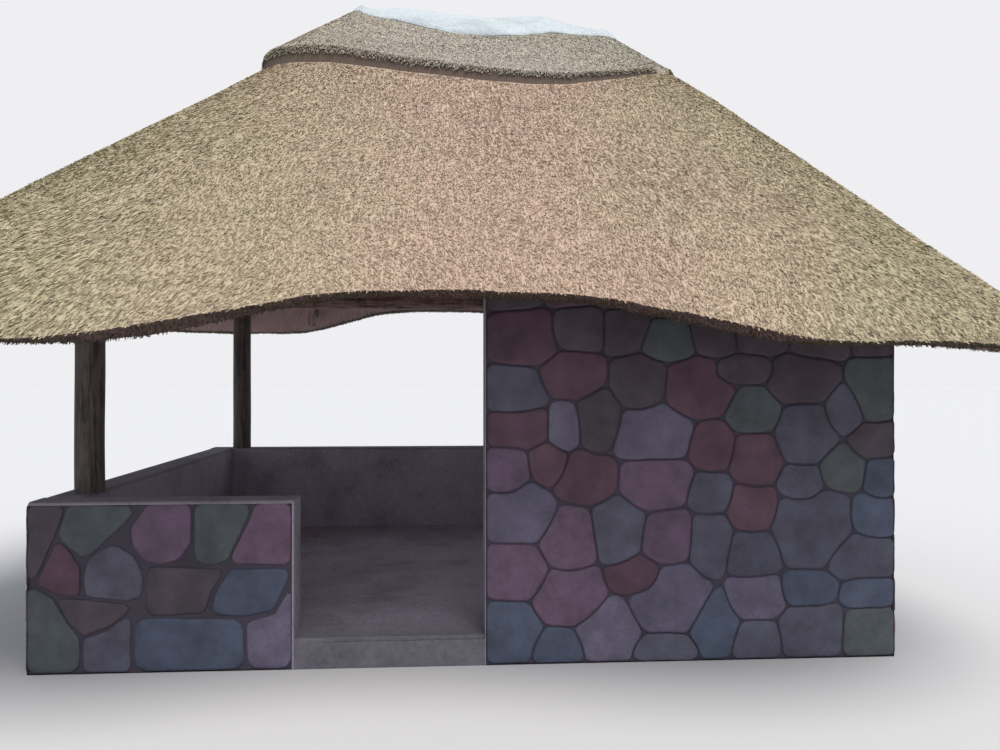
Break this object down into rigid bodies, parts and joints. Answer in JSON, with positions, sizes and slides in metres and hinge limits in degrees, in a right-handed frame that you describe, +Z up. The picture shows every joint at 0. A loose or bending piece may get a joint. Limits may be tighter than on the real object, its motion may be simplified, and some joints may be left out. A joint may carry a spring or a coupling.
{
  "type": "rondavel hut",
  "caption": "Open thatched shelter on low stone-clad walls, with a full-height stone screen beside the entrance and a rounded hip roof on gum poles.",
  "frame": {"origin": "on the ground under the centre of the roof's plan", "axes": "+X to the right along the ridge as seen from the entrance side, +Y from the entrance side to the back, +Z up"},
  "size_m": [6.9048, 5.9166, 4.3914],
  "materials": {
    "floor": "trowelled screed",
    "stone_wall": "stone slabs set in mortar",
    "gum_pole": "peeled pole, weathered",
    "roof_pole": "peeled pole, smoke-darkened",
    "lath": "thin peeled lath",
    "thatch": "combed grass thatch",
    "ridge_thatch": "combed grass thatch",
    "ridge_mortar": "trowelled mortar"
  },
  "bodies": {
    "root": {"floor_slab": "floor", "front_parapet": "stone_wall", "left_parapet": "stone_wall", "back_parapet": "stone_wall", "right_parapet": "stone_wall", "screen_wall": "stone_wall", "post_front_left": "gum_pole", "post_front_right": "gum_pole", "post_back_left": "gum_pole", "post_back_right": "gum_pole", "plate_front": "roof_pole", "plate_right": "roof_pole", "plate_back": "roof_pole", "plate_left": "roof_pole", "ridge_pole": "roof_pole", "rafters_front": "roof_pole", "rafters_right": "roof_pole", "rafters_back": "roof_pole", "rafters_left": "roof_pole", "hip_rafter_front_left": "roof_pole", "hip_rafter_front_right": "roof_pole", "hip_rafter_back_left": "roof_pole", "hip_rafter_back_right": "roof_pole", "laths_front": "lath", "laths_right": "lath", "laths_back": "lath", "laths_left": "lath", "thatch_front": "thatch", "thatch_right": "thatch", "thatch_back": "thatch", "thatch_left": "thatch", "ridge_thatch": "ridge_thatch", "ridge_capping": "ridge_mortar"}
  },
  "joints": []
}
